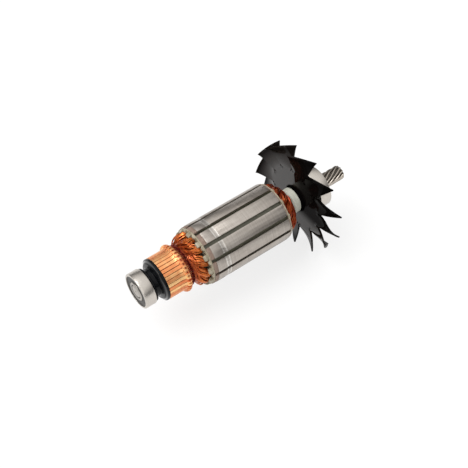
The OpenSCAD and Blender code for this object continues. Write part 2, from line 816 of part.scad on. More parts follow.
shaft();
shaft_sleeve();
lamination_stack();
front_end_plate();
rear_end_plate();
front_end_insulator();
rear_end_insulator();
slot_liners();
slot_wedges();
coil(1);  // coil_01
coil(2);  // coil_02
coil(3);  // coil_03
coil(4);  // coil_04
coil(5);  // coil_05
coil(6);  // coil_06
coil(7);  // coil_07
coil(8);  // coil_08
coil(9);  // coil_09
coil(10);  // coil_10
coil(11);  // coil_11
coil(12);  // coil_12
commutator_bush();
commutator_hub();
commutator_bars();
mica_segments();
coil_leads();
dust_shield();
fan();
front_bearing_outer_ring();
front_bearing_inner_ring();
front_bearing_balls();
front_bearing_cage();
front_bearing_front_seal();
front_bearing_rear_seal();
rear_bearing_outer_ring();
rear_bearing_inner_ring();
rear_bearing_balls();
rear_bearing_cage();
rear_bearing_front_seal();
rear_bearing_rear_seal();
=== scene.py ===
# %% [markdown]
# # A wound motor armature
#
# This lesson dresses the imported model of an armature: the spinning part of a
# small universal motor, as used in a hand power tool. The imported model is a
# fixed frame. It says where everything is, and every piece made here is
# placed from it.
#
# The frame is loaded first.

# %% Load the frame
import math
import random

import bmesh
import bpy
from mathutils import Matrix, Vector


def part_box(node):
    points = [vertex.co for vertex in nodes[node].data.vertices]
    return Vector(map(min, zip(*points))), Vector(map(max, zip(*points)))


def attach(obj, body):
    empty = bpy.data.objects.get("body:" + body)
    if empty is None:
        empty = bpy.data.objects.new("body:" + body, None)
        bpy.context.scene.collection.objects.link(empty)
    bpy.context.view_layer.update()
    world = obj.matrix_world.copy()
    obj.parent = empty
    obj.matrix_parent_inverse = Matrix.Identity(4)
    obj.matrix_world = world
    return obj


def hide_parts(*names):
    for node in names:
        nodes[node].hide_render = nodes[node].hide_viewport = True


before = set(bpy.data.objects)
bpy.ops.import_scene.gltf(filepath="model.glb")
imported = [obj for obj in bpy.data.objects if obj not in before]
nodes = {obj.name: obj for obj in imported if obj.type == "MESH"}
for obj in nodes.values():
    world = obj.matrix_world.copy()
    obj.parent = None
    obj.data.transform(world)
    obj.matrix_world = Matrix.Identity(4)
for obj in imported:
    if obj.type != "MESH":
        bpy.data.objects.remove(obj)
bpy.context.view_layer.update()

# %% [markdown]
# ## Measures
#
# The armature lies along X. A turned piece is known by where it starts and
# ends along the shaft and by its radius, so two small helpers read those from
# a node's box. Everything below is in metres, and MM turns a length that is
# easier to think of in millimetres into metres. The rotor stands turned by
# ROTOR_TURN degrees, and each pattern round the shaft is counted from there.

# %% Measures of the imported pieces
MM = 0.001


def span(node):
    """Where a node starts and ends along the shaft."""
    low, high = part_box(node)
    return low[0], high[0]


def reach(node):
    """How far a node reaches from the shaft's axis."""
    low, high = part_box(node)
    return max(high[1], high[2], -low[1], -low[2])


def around(station, radius, degrees):
    """A point at a station along the shaft, a radius, and an angle round it from straight down."""
    angle = math.radians(degrees)
    return Vector((station, radius * math.sin(angle), -radius * math.cos(angle)))


SLOTS = 12
SLOT_PITCH = 360 / SLOTS
ROTOR_TURN = 26.0
stack_front, stack_rear = span("lamination_stack")
bars_front, bars_rear = span("commutator_bars")
sleeve_rear = span("shaft_sleeve")[1]
fan_radius = reach("fan")
print("stack from", round(stack_front / MM, 2), "to", round(stack_rear / MM, 2), "mm")

# %% [markdown]
# ## Camera
#
# A long lens from 0.6 m away keeps the shaft's two ends nearly the same size,
# as a product picture does. The camera is placed by a direction and a
# distance from the point it looks at, and its rotation tracks that direction.

# %% Camera
CAMERA_AZIMUTH = math.radians(-36.7)
CAMERA_ELEVATION = math.radians(52.2)
CAMERA_DISTANCE = 0.6
LENS_MM = 79.4
SENSOR_MM = 36
aim = Vector((0.0647, 0, 0))
backwards = Vector((
    math.sin(CAMERA_AZIMUTH) * math.cos(CAMERA_ELEVATION),
    -math.cos(CAMERA_AZIMUTH) * math.cos(CAMERA_ELEVATION),
    math.sin(CAMERA_ELEVATION),
))
camera_data = bpy.data.cameras.new("camera")
camera_data.lens = LENS_MM
camera_data.sensor_width = SENSOR_MM
camera_data.clip_start = 0.01
camera = bpy.data.objects.new("camera", camera_data)
camera.location = aim + backwards * CAMERA_DISTANCE
camera.rotation_euler = backwards.to_track_quat("Z", "Y").to_euler()
bpy.context.scene.collection.objects.link(camera)
bpy.context.scene.camera = camera
bpy.context.scene.view_settings.view_transform = "Standard"
print("camera at", [round(c, 3) for c in camera.location])

# %% [markdown]
# ## Shader maths
#
# A procedural finish is mostly arithmetic: a mask times a strength, one minus
# a mask, a radius from Y and Z. Written node by node that is hard to read, so
# one small class wraps a socket and lets Python's own operators add the Math
# nodes. A second one holds a material, and its node method makes any other
# node from its type, its settings and what goes into its sockets.


# %% Signals and finishes
class Signal:
    """An output socket of a finish. Arithmetic on it adds Math nodes."""

    def __init__(self, finish, socket):
        self.finish = finish
        self.socket = socket

    def math(self, operation, *others):
        """A Math node with this signal in its first socket."""
        sockets = dict(enumerate((self, *others)))
        return self.finish.node("ShaderNodeMath", {"operation": operation}, sockets)

    def __add__(self, other):
        return self.math("ADD", other)

    __radd__ = __add__

    def __sub__(self, other):
        return self.math("SUBTRACT", other)

    def __rsub__(self, other):
        return self.finish.node("ShaderNodeMath", {"operation": "SUBTRACT"}, {0: other, 1: self})

    def __mul__(self, other):
        return self.math("MULTIPLY", other)

    __rmul__ = __mul__

    def __truediv__(self, other):
        return self.math("DIVIDE", other)

    def __pow__(self, other):
        return self.math("POWER", other)


def from_axis(y, z):
    """How far a place is from the shaft's axis."""
    return (y * y + z * z) ** 0.5


class Finish:
    """A material with one Principled shader, whose all-over values are given as words."""

    def __init__(self, name, **all_over):
        self.material = bpy.data.materials.new(name)
        self.material.use_nodes = True
        self.tree = self.material.node_tree
        self.shader = self.tree.nodes["Principled BSDF"]
        for label, value in all_over.items():
            self.shader.inputs[label.replace("_", " ")].default_value = value

    def node(self, kind, settings=None, sockets=None, output=0):
        """Adds a node and returns one of its outputs as a signal."""
        made = self.tree.nodes.new(kind)
        for label, value in (settings or {}).items():
            if label == "stops":
                self.set_stops(made.color_ramp, value)
            else:
                setattr(made, label, value)
        for label, value in (sockets or {}).items():
            if isinstance(value, Signal):
                self.tree.links.new(value.socket, made.inputs[label])
            else:
                made.inputs[label].default_value = value
        return Signal(self, made.outputs[output])

    @staticmethod
    def set_stops(ramp, stops):
        while len(ramp.elements) < len(stops):
            ramp.elements.new(0.5)
        for element, (position, colour) in zip(ramp.elements, stops):
            element.position = position
            element.color = (*colour, 1)

    def feed(self, label, signal):
        """Links a signal to the shader."""
        self.tree.links.new(signal.socket, self.shader.inputs[label])

    def place(self, scale=(1, 1, 1)):
        """Object coordinates in millimetres, stretched by a scale."""
        spot = self.node("ShaderNodeTexCoord", output="Object")
        return self.node("ShaderNodeMapping", {"vector_type": "POINT"}, {
            "Vector": spot, "Scale": tuple(s / MM for s in scale),
        })

    def axes(self):
        """X, Y and Z of the place, each a signal in millimetres."""
        x = self.node("ShaderNodeSeparateXYZ", None, {0: self.place()})
        return [Signal(self, out) for out in x.socket.node.outputs]

    def turning_marks(self, along, around):
        """A place for noise that draws out into rings round the shaft."""
        x, y, z = self.axes()
        return self.node("ShaderNodeCombineXYZ", None, {
            "X": (x + from_axis(y, z)) * along, "Y": y * around, "Z": z * around,
        })

    def noise(self, place, detail=3.0, roughness=0.5):
        """Cloudy noise, one cloud for each unit of its place."""
        return self.node("ShaderNodeTexNoise", {"noise_dimensions": "3D"}, {
            "Vector": place, "Scale": 1.0, "Detail": detail, "Roughness": roughness,
        })

    def clouds(self, density, detail=3.0, roughness=0.5):
        """Noise with the same number of clouds to a millimetre all ways."""
        return self.noise(self.place((density,) * 3), detail, roughness)

    def ramp(self, signal, *stops):
        """A colour that a signal picks between stops, each a position and a colour."""
        return self.node("ShaderNodeValToRGB", {"stops": stops}, {"Fac": signal})

    def fade(self, signal, start, end, low=0.0, high=1.0, smooth=False):
        """Runs from low to high while a signal runs from start to end, and holds beyond."""
        return self.node("ShaderNodeMapRange", {
            "clamp": True, "interpolation_type": "SMOOTHSTEP" if smooth else "LINEAR",
        }, {"Value": signal, "From Min": start, "From Max": end, "To Min": low, "To Max": high})

    def between(self, noise, low, high):
        """Stretches the middle of a noise to run from low to high."""
        return self.fade(noise, 0.3, 0.7, low, high)

    def blend(self, share, first, second):
        """A colour between two colours, each a signal or three numbers."""
        first, second = (
            colour if isinstance(colour, Signal) else (*colour, 1) for colour in (first, second))
        return self.node("ShaderNodeMix", {"data_type": "RGBA"}, {
            "Factor": share, 6: first, 7: second,
        }, output=2)

    def bump(self, height, strength, distance):
        """Feeds a height, in steps of a distance in metres, to the shader's normal."""
        self.feed("Normal", self.node("ShaderNodeBump", None, {
            "Height": height, "Strength": strength, "Distance": distance,
        }))


print("2 classes for shader maths")

# %% [markdown]
# ## Steel finishes
#
# Bearing rings are ground: very fine rings round the axis, a tight gloss. The
# shaft is turned and a little duller. The pinion is cut, not turned, so its
# marks are cloudy, and painted shade darkens the roots of its teeth, as it does
# an inner ring beside its shaft. The laminations are about a hundred thin
# sheets pressed together and then skimmed on a lathe, so they show a fine
# line every half millimetre and a soft cloudiness along each tooth.


# %% Steel finishes
def ground_steel(name, colour, roughness, hollow_shade=None, turned=True):
    """Bright steel, with fine rings round the shaft's axis where it's turned.

    Painted shade in the hollows near the axis is given by two radii in millimetres: it's thick
    inside the first and gone at the second.
    """
    finish = Finish(name, Metallic=1.0)
    marks = finish.turning_marks(9, 0.12) if turned else finish.place((0.7, 0.9, 0.9))
    rings = finish.noise(marks, detail=5 if turned else 2, roughness=0.65)
    clouds = finish.clouds(0.25, detail=2)
    dull = tuple(c * 0.84 for c in colour)
    steel = finish.blend(finish.between(rings * 0.6 + clouds * 0.4, 0, 1), dull, colour)
    # Painted shade: the steel darkens towards the axis, into the pinion's tooth roots and the crease
    # where an inner ring meets its shaft.
    if hollow_shade:
        x, y, z = finish.axes()
        hollow_mask = finish.fade(from_axis(y, z), *hollow_shade, 1, 0, smooth=True)
        steel = finish.blend(hollow_mask * 0.85, steel, (0.05, 0.045, 0.04))
    finish.feed("Base Color", steel)
    finish.feed("Roughness", finish.between(rings, roughness * 0.75, roughness * 1.3))
    finish.bump(rings, 0.25, 0.006 * MM)
    return finish.material


SHEET = 0.5
SEAM = 0.07
BAND_AT = 6.0
BAND_WIDTH = 3.0
EDGE_HIGHLIGHT = 0.8


def skimmed_laminations():
    """Pressed sheets, skimmed on a lathe, with a brighter balancing band and a painted highlight along
    each of its two edges.
    """
    finish = Finish("skimmed_laminations", Metallic=1.0)
    x, y, z = finish.axes()
    seam = x.math("PINGPONG", SHEET / 2).math("LESS_THAN", SEAM / 2)
    sheet_tone = finish.noise(finish.turning_marks(2.1, 0.03), detail=4, roughness=0.7)
    clouds = finish.noise(finish.place((0.06, 0.3, 0.3)), detail=4, roughness=0.6)
    tone = finish.between(sheet_tone * 0.45 + clouds * 0.55, 0, 1)
    steel = finish.ramp(
        tone, (0, (0.325, 0.29, 0.255)), (0.5, (0.475, 0.43, 0.385)), (1, (0.60, 0.555, 0.505)))
    seamed = finish.blend(seam * 0.35, steel, (0.16, 0.15, 0.14))
    from_band = (x - (stack_front / MM + BAND_AT + BAND_WIDTH / 2)).math("ABSOLUTE")
    # Painted highlights: a narrow bright line along each edge of the band.
    highlight_middle = BAND_WIDTH / 2 - EDGE_HIGHLIGHT / 2
    edge_highlight = (from_band - highlight_middle).math("ABSOLUTE").math("LESS_THAN", EDGE_HIGHLIGHT / 2)
    inside = from_band.math("LESS_THAN", highlight_middle)
    skimmed = finish.blend(inside * 0.25, seamed, (0.62, 0.60, 0.57))
    finish.feed("Base Color", finish.blend(edge_highlight * 0.6, skimmed, (0.80, 0.78, 0.73)))
    finish.feed("Roughness", finish.between(clouds, 0.34, 0.46))
    finish.bump(sheet_tone - seam * 0.6, 0.35, 0.012 * MM)
    return finish.material


bearing_steel = ground_steel("ground_bearing_steel", (0.66, 0.615, 0.56), 0.31)
race_steel = ground_steel("inner_race_steel", (0.46, 0.425, 0.38), 0.28, (4.35, 4.75))
shaft_steel = ground_steel("turned_shaft_steel", (0.47, 0.435, 0.39), 0.3)
pinion_steel = ground_steel("cut_pinion_steel", (0.49, 0.44, 0.385), 0.28, (3.45, 4.2), turned=False)
ball_steel = ground_steel("polished_ball_steel", (0.80, 0.79, 0.77), 0.12)
bush_steel = ground_steel("plain_bush_steel", (0.50, 0.49, 0.47), 0.4)
cage_steel = ground_steel("pressed_cage_steel", (0.58, 0.56, 0.52), 0.35)
lamination_steel = skimmed_laminations()
print("steel finishes: 8")

# %% [markdown]
# ## Copper finishes
# The brush track is bare copper, skimmed bright, so it is a metal with a
# salmon colour and rings round the shaft, and each bar has its own tone. The
# winding is copper too, but under a coat of orange enamel, with painted shade
# deep in the winding, painted light on its top, and painted shade, darker and
# redder, behind the stack. The leads near the commutator are dipped in a dark
# red varnish.


# %% Copper finishes
BARS = 36
BAR_PITCH = 360 / BARS
BAR_TURN = ROTOR_TURN - 23.6
BAR_TONE_SEED = 200
WINDING_SHADE_R = 11
WINDING_LIT_R = 15.5


def bare_copper():
    """Skimmed copper, each bar a slightly different tone."""
    finish = Finish("skimmed_copper", Metallic=0.72)
    rings = finish.noise(finish.turning_marks(6, 0.1), detail=5, roughness=0.65)
    clouds = finish.clouds(0.35, detail=3)
    x, y, z = finish.axes()
    pitches = z.math("ARCTAN2", y) / math.tau * BARS + BAR_TONE_SEED - BAR_TURN / 360 * BARS
    number = (pitches + 0.5).math("FLOOR")
    bar_tone = finish.node("ShaderNodeTexWhiteNoise", {"noise_dimensions": "1D"}, {"W": number})
    tone = finish.between(rings * 0.3 + clouds * 0.35 + bar_tone * 0.35, 0, 1)
    finish.feed("Base Color", finish.ramp(
        tone, (0, (0.71, 0.20, 0.07)), (0.5, (0.89, 0.37, 0.145)), (1, (0.98, 0.64, 0.29))))
    finish.feed("Roughness", finish.between(rings, 0.3, 0.44))
    finish.bump(rings, 0.3, 0.006 * MM)
    return finish.material


def wire_enamel(name, stops, coat):
    """Coloured enamel over copper wire, with painted shade deep in the winding, painted light on its
    top, and painted shade behind the stack.
    """
    finish = Finish(name, Metallic=0.75, Coat_Roughness=0.15)
    clouds = finish.clouds(0.5, detail=4, roughness=0.6)
    flecks = finish.clouds(2.4, detail=2)
    x, y, z = finish.axes()
    # Painted shade and light: the enamel darkens towards the axis and brightens towards the winding's
    # top.
    height = finish.fade(from_axis(y, z), WINDING_SHADE_R, WINDING_LIT_R)
    tone = finish.between(clouds * 0.7 + flecks * 0.3, 0, 1) * 0.6 + height * 0.4
    # Painted shade behind the stack: the rear end turns are darker and redder.
    shaded_rear = x.math("GREATER_THAN", stack_rear / MM)
    low, middle, high = stops
    enamel = finish.ramp(tone, (0, low), (0.5, middle), (1, high))
    finish.feed("Base Color", finish.blend(shaded_rear * 0.6, enamel, (0.34, 0.026, 0.010)))
    finish.feed("Roughness", finish.between(flecks, 0.24, 0.42))
    finish.feed("Coat Weight", finish.between(clouds, coat * 0.6, coat))
    finish.bump(flecks, 0.3, 0.02 * MM)
    return finish.material


copper = bare_copper()
winding_enamel = wire_enamel(
    "orange_wire_enamel", ((0.10, 0.010, 0.003), (0.48, 0.085, 0.014), (0.92, 0.31, 0.06)), 0.4)
# A darker copy of the orange enamel, used as painted shade under and between strands.
shaded_enamel = wire_enamel(
    "shaded_wire_enamel", ((0.04, 0.004, 0.002), (0.16, 0.018, 0.005), (0.36, 0.06, 0.012)), 0.3)
lead_enamel = wire_enamel(
    "dark_lead_varnish", ((0.07, 0.004, 0.003), (0.20, 0.014, 0.010), (0.38, 0.05, 0.03)), 0.12)
print("copper finishes: 4")

# %% [markdown]
# ## Plastics, fibre and rubber
#
# None of these is one flat colour. A moulded part has a faint texture from
# its mould and a slightly uneven gloss. Some radii of the shield and the fan
# are polished, which is a coat over the plastic. The fan's coat thins on its
# near side as painted shade, and a warm tint under the coat is a painted
# sheen. Fibre and paper show short threads, and a rubber seal is matt with a
# little dust on it.


# %% Plastics, fibre and rubber
WIDEST = 40
UNDERSIDE = -8
SHADED_COAT = 0.12


def moulded(name, low, high, roughness, shine=0.5, polished=None, shaded_side=None, sheen_tint=None):
    """Moulded plastic with a faint mottle and an uneven gloss.

    Polished pairs radii in millimetres with the coat's weight there. The coat thins, as painted
    shade, before the first of the shaded side's two places along Y, and is whole after its second
    and below. The colour given for the coat is a painted sheen that follows it.
    """
    finish = Finish(name, Specular_IOR_Level=shine)
    mottle = finish.clouds(0.3, detail=4, roughness=0.6)
    skin = finish.clouds(3.0, detail=3)
    colour = finish.blend(finish.between(mottle * 0.6 + skin * 0.4, 0, 1), low, high)
    gloss = finish.between(mottle * 0.5 + skin * 0.5, roughness * 0.8, roughness * 1.2)
    finish.feed("Roughness", gloss)
    finish.bump(skin, 0.3, 0.012 * MM)
    if polished:
        x, y, z = finish.axes()
        stops = [(r / WIDEST, (weight,) * 3) for r, weight in polished]
        coat = finish.ramp(from_axis(y, z) / WIDEST, *stops)
        # Painted shade: the coat, and the tint that follows it, thin out on the near side.
        if shaded_side:
            side = y.math("MAXIMUM", UNDERSIDE - z)
            coat = coat * finish.fade(side, *shaded_side, SHADED_COAT, 1, smooth=True)
        finish.feed("Coat Weight", coat)
        # Painted sheen: a warm tint in the colour wherever the coat lies.
        if sheen_tint:
            colour = finish.blend(coat, colour, sheen_tint)
    finish.feed("Base Color", colour)
    return finish.material


def threaded(name, low, high, stretch):
    """Fibre board or paper, with short threads drawn out by a stretch."""
    finish = Finish(name)
    threads = finish.noise(finish.place(stretch), detail=5, roughness=0.7)
    blotch = finish.clouds(0.4, detail=2)
    colour = finish.blend(finish.between(threads * 0.6 + blotch * 0.4, 0, 1), low, high)
    finish.feed("Base Color", colour)
    finish.feed("Roughness", finish.between(threads, 0.55, 0.8))
    finish.bump(threads, 0.4, 0.03 * MM)
    return finish.material


insulator_plastic = moulded("cream_insulator", (0.19, 0.16, 0.105), (0.47, 0.42, 0.31), 0.35)
sleeve_plastic = moulded("pale_sleeve", (0.50, 0.51, 0.42), (0.66, 0.65, 0.57), 0.4)
wedge_plastic = moulded("green_grey_wedge", (0.07, 0.07, 0.045), (0.16, 0.155, 0.11), 0.4)
hub_moulding = moulded("dark_hub_moulding", (0.05, 0.022, 0.015), (0.10, 0.045, 0.03), 0.4)
shield_plastic = moulded(
    "black_shield", (0.002, 0.002, 0.003), (0.006, 0.007, 0.008), 0.14, shine=0.15,
    polished=((11.5, 0.0), (11.8, 1.0), (12.4, 1.0), (12.7, 0.0)))
# The fan's near side is darkened as painted shade, and its coat carries a painted sheen tint.
fan_plastic = moulded(
    "black_fan", (0.0012, 0.001, 0.001), (0.0035, 0.003, 0.003), 0.24, shine=0.0,
    polished=((8.6, 0.0), (9.4, 0.84), (22.5, 0.84), (28.0, 0.64), (33.3, 0.13), (34.6, 0.43)),
    shaded_side=(-5, 5), sheen_tint=(0.012, 0.0068, 0.0042))
seal_rubber = moulded(
    "dusty_seal_rubber", (0.018, 0.016, 0.0125), (0.041, 0.036, 0.028), 0.42, shine=0.42)
fibre_board = threaded("brown_fibre_board", (0.17, 0.11, 0.085), (0.33, 0.24, 0.19), (2.0, 0.6, 0.6))
liner_paper = threaded("slot_liner_paper", (0.24, 0.23, 0.15), (0.42, 0.40, 0.30), (0.5, 2.0, 2.0))
mica = threaded("brown_mica", (0.06, 0.018, 0.008), (0.125, 0.042, 0.019), (1.5, 1.5, 1.5))
print("plastic, fibre and rubber finishes: 10")

# %% [markdown]
# ## Making pieces
#
# The imported solids are exact but plain: their edges are knife sharp and their
# curves are facets. What shows is made again here with soft edges, and each
# new piece stands for the imported node that it hides. A piece's object stays at
# the origin, because its mesh is already in place.
#
# Most of an armature is turned on a lathe, so one helper spins a closed
# outline of stations and radii round the shaft. The soft edges come from a
# Bevel modifier that picks only the sharp edges by their angle. It hardens the
# normals, so that the flat faces beside a rounded edge keep flat shading. A
# piece without soft edges keeps its sharp ones by their angle too. The
# finishes fill a piece's material slots in the order they are given.


# %% Helpers that make pieces
SHARP_ANGLE = 38
MERGE = 0.002 * MM


def add_piece(name, mesh, materials, body, stands_for=(), edge=0.0, angle=28):
    """Shows a mesh as a piece that rides on a body, with its sharp edges rounded by a width."""
    if not isinstance(materials, tuple):
        materials = (materials,)
    for place, material in enumerate(materials):
        if place < len(mesh.materials):
            mesh.materials[place] = material
        else:
            mesh.materials.append(material)
    mesh.shade_smooth()
    if not edge:
        mesh.set_sharp_from_angle(angle=math.radians(SHARP_ANGLE))
    piece = bpy.data.objects.new(name, mesh)
    bpy.context.scene.collection.objects.link(piece)
    if edge:
        soft = piece.modifiers.new("soft edges", "BEVEL")
        soft.width = edge
        soft.segments = 2
        soft.limit_method = "ANGLE"
        soft.angle_limit = math.radians(angle)
        soft.harden_normals = True
    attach(piece, body)
    if stands_for:
        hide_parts(*stands_for)


def mesh_of(shape, name):
    """Closes a bmesh and returns it as a mesh."""
    mesh = bpy.data.meshes.new(name)
    shape.to_mesh(mesh)
    shape.free()
    return mesh


def everything(shape):
    return shape.verts[:] + shape.edges[:] + shape.faces[:]


def spin_outline(shape, outline, steps=144, start=0.0, turn=360.0):
    """Spins a closed outline of stations and radii in millimetres into a ring, or a closed sector."""
    corners = [shape.verts.new(around(x * MM, r * MM, start)) for x, r in outline]
    if turn < 360:
        end_face = shape.faces.new(corners)
        ring = [end_face, *end_face.edges, *corners]
    else:
        ring = [shape.edges.new(pair) for pair in zip(corners, corners[1:] + corners[:1])]
        ring += corners
    bmesh.ops.spin(
        shape, geom=ring, axis=(1, 0, 0), cent=(0, 0, 0), angle=math.radians(-turn), steps=steps,
        use_merge=turn >= 360, use_duplicate=False)
    bmesh.ops.remove_doubles(shape, verts=shape.verts, dist=MERGE)
    bmesh.ops.recalc_face_normals(shape, faces=shape.faces)


def ring_of(shape, count):
    """Copies all of a shape round the shaft."""
    bmesh.ops.spin(
        shape, geom=everything(shape), axis=(1, 0, 0), cent=(0, 0, 0), steps=count - 1,
        angle=math.tau * (count - 1) / count, use_merge=False, use_duplicate=True)


def add_turned(name, outline, material, body, stands_for=(), edge=0.12, steps=144):
    """A whole turned piece."""
    shape = bmesh.new()
    spin_outline(shape, outline, steps)
    add_piece(name, mesh_of(shape, name), material, body, stands_for, edge * MM)


def add_softened(name, node, material, edge):
    """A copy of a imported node, made whole and given soft edges."""
    shape = bmesh.new()
    shape.from_mesh(nodes[node].data)
    bmesh.ops.remove_doubles(shape, verts=shape.verts, dist=MERGE)
    bmesh.ops.dissolve_limit(shape, angle_limit=math.radians(1), verts=shape.verts, edges=shape.edges)
    add_piece(name, mesh_of(shape, name), material, "rotor", (node,), edge * MM)


print("piece helpers ready")

# %% [markdown]
# ## Steel stack, fibre plates and insulators
#
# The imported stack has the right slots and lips, so a copy is enough. On the
# real one the tooth edges are slightly broken by the last skim, and they
# catch a thin line of light. The cream insulator has fuller edges, as a
# moulding has, and a rounded hood over each slot's mouth.

# %% Stack, plates and insulators
HOOD_OUTLINE = [
    (0.3, 15.4), (0.3, 17.6), (-1.3, 17.8), (-2.2, 17.3), (-2.6, 16.5), (-2.2, 15.7), (-1.0, 15.3),
]
HOOD_SPAN = 11.2
HOOD_FORWARD = 0.8
add_softened("steel_stack", "lamination_stack", lamination_steel, 0.12)
add_softened("front_fibre_plate", "front_end_plate", fibre_board, 0.1)
add_softened("rear_fibre_plate", "rear_end_plate", fibre_board, 0.08)
add_softened("front_insulator", "front_end_insulator", insulator_plastic, 0.2)
add_softened("rear_insulator", "rear_end_insulator", insulator_plastic, 0.2)
hood_place = span("front_end_plate")[0] / MM - HOOD_FORWARD
hoods = bmesh.new()
spin_outline(
    hoods, [(hood_place + x, r) for x, r in HOOD_OUTLINE], 4, ROTOR_TURN - HOOD_SPAN / 2, HOOD_SPAN)
ring_of(hoods, SLOTS)
add_piece("insulator_hoods", mesh_of(hoods, "hoods"), insulator_plastic, "rotor", edge=0.7 * MM)
print("stack and its 4 end pieces")

# %% [markdown]
# ## The way of one coil
#
# A coil leaves its slot, swells into a loose bundle that leans back at about
# 45 degrees, dives under its neighbours towards the neck of the sleeve, and
# comes back deep under them into a slot five further on. A few rows describe
# that way for one end turn: angle back from the slot, radius, height over the
# insulator's face, half width, half thickness, and the lean of the bundle's
# broad face, from facing outwards (0) to halfway towards the shaft's end (1).
#
# The way between the rows is a Catmull-Rom curve: it passes through every
# row and has no corners.

# %% The way of one coil
COIL_BACK = 5 * SLOT_PITCH
END_TURN = [
    (0, 14.0, -3.0, 1.15, 0.95, 0.0),
    (0, 14.2, 0.2, 1.4, 1.0, 0.0),
    (2, 14.8, 1.8, 2.0, 1.3, 0.4),
    (8, 14.3, 4.0, 2.6, 1.6, 0.8),
    (17, 12.9, 6.0, 2.5, 1.5, 0.9),
    (29, 11.6, 7.2, 2.2, 1.1, 0.6),
    (48, 10.5, 7.3, 1.7, 0.8, 0.2),
    (82, 9.7, 6.5, 1.5, 0.6, 0.0),
    (118, 8.9, 4.4, 1.3, 0.5, 0.0),
    (143, 10.2, 2.4, 1.0, 0.6, 0.0),
    (COIL_BACK, 12.0, 0.6, 0.8, 0.9, 0.0),
    (COIL_BACK, 12.1, -3.0, 0.8, 0.9, 0.0),
]
SAMPLES_PER_ROW = 4


def blend_rows(share, before, first, second, after):
    """A row at a share between the first and second of four rows."""
    return [
        0.5 * (2 * b + (c - a) * share + (2 * a - 5 * b + 4 * c - d) * share ** 2
               + (3 * b - a - 3 * c + d) * share ** 3)
        for a, b, c, d in zip(before, first, second, after)
    ]


def sample_rows(rows):
    """The rows with more between them, on a smooth curve."""
    padded = [rows[0]] + rows + [rows[-1]]
    samples = []
    for four in zip(padded, padded[1:], padded[2:], padded[3:]):
        samples += [blend_rows(step / SAMPLES_PER_ROW, *four) for step in range(SAMPLES_PER_ROW)]
    return samples + [list(rows[-1])]


def end_turn_rows(flat, inward, rng):
    """One coil's end turn, flattened by a share, drawn in, and uneven outside the slots."""
    rows = []
    for angle, r, z, wide, thick, lean in END_TURN:
        free = max(0, min(1, z / 3)) if angle < 100 else 0
        rows.append((
            angle + free * rng.uniform(-4, 4),
            r - free * (inward + rng.uniform(-0.4, 0.4)),
            z * (1 - flat * free) + free * rng.uniform(-0.4, 0.3),
            wide * (1 - flat * free) * rng.uniform(0.88, 1.12),
            thick * (1 + free * rng.uniform(-0.15, 0.25)),
            lean + free * rng.uniform(-0.25, 0.25),
        ))
    return sample_rows(rows)


RIB_HEIGHT = 1.0 * MM
turn_faces = (
    span("front_end_insulator")[0] + RIB_HEIGHT, span("rear_end_insulator")[1] - RIB_HEIGHT)
print("rows along one end turn:", len(sample_rows(END_TURN)))

# %% [markdown]
# ## Winding the coils
# A bundle that is one smooth solid looks like a ribbon, not like wire. So
# every coil is wound strand by strand: 24 in three layers. A strand keeps its
# own place across the bundle, wanders a little from it as hand-guided wire
# does, and runs on through both slots, so that each is one closed loop. A few
# stray further. The lower layers, the bundle's sides and some others at random
# wear the shaded enamel, a darker copy of the orange one that paints the shade
# among the strands. A curve with a round bevel gives a strand its thickness,
# and is made a mesh at once.

# %% Wire coils
STRAND_LAYERS = (9, 8, 7)
STRAND_D = 0.56 * MM
STRAY_SHARE = 0.1
BUNDLE_SIDE = 0.7
DARK_SHARE = 0.15


def wire_curve(name, thickness):
    """A curve whose strands are round wires."""
    curve = bpy.data.curves.new(name, "CURVE")
    curve.dimensions = "3D"
    curve.bevel_depth = thickness / 2
    curve.bevel_resolution = 1
    return curve


def add_strand(curve, way, finish_place, closed=False):
    """Lays one wire along a way of points, in the finish at a place in the piece's."""
    spline = curve.splines.new("POLY")
    spline.points.add(len(way) - 1)
    for point, where in zip(spline.points, way):
        point.co = (*where, 1)
    spline.use_cyclic_u = closed
    spline.material_index = finish_place


def mesh_of_wires(curve):
    """A mesh of a curve's round wires."""
    holder = bpy.data.objects.new(curve.name, curve)
    mesh = bpy.data.meshes.new_from_object(holder)
    bpy.data.objects.remove(holder)
    return mesh


def row_spot(row, end):
    """Where a row lies. An end is the face it counts from, the way outwards, and the coil's turn."""
    face, outward, turn = end
    return around(face + outward * row[2] * MM, row[1] * MM, turn - row[0])


def bundle_frame(row, ahead, end):
    """Where a row lies, and the directions across its bundle and out of it."""
    face, outward, turn = end
    here = row_spot(row, end)
    along = (row_spot(ahead, end) - here).normalized()
    lean = row[5] * math.pi / 4
    facing = around(outward * math.sin(lean), math.cos(lean), turn - row[0])
    high = (facing - facing.dot(along) * along).normalized()
    return here, along.cross(high), high


def bundle_frames(rows, end):
    """Every row with its frame. A row that the next one repeats takes the frame before it."""
    frames = []
    for row, ahead in zip(rows, rows[1:]):
        repeated = row[:3] == ahead[:3]
        frames.append((row, frames[-1][1] if repeated else bundle_frame(row, ahead, end)))
    across_and_out = frames[-1][1][1:]
    return frames + [(rows[-1], (row_spot(rows[-1], end), *across_and_out))]


def strand_end_turn(frames, share, layer, stray, side, rng):
    """Points of one strand on one end turn. Its share runs from -1 to 1 across the bundle."""
    sway_rate, sway_start = rng.uniform(0.15, 0.4), rng.uniform(0, 6.3)
    swell_rate, swell_start = rng.uniform(0.15, 0.5), rng.uniform(0, 6.3)
    points = []
    for index, (row, (here, wide, high)) in enumerate(frames):
        loose = min(1, max(0, row[2]) / 3)
        sway = stray * loose * math.sin(index * sway_rate + sway_start)
        swell = 0.12 * loose * math.sin(index * swell_rate + swell_start)
        across = max(-1, min(1, share + sway))
        crown = (1 - 0.75 * across * across) * (1 - 0.62 * layer) - 0.3 * layer
        points.append(
            here + wide * (side * across * row[3] * MM) + high * ((crown + swell) * row[4] * MM))
    return points


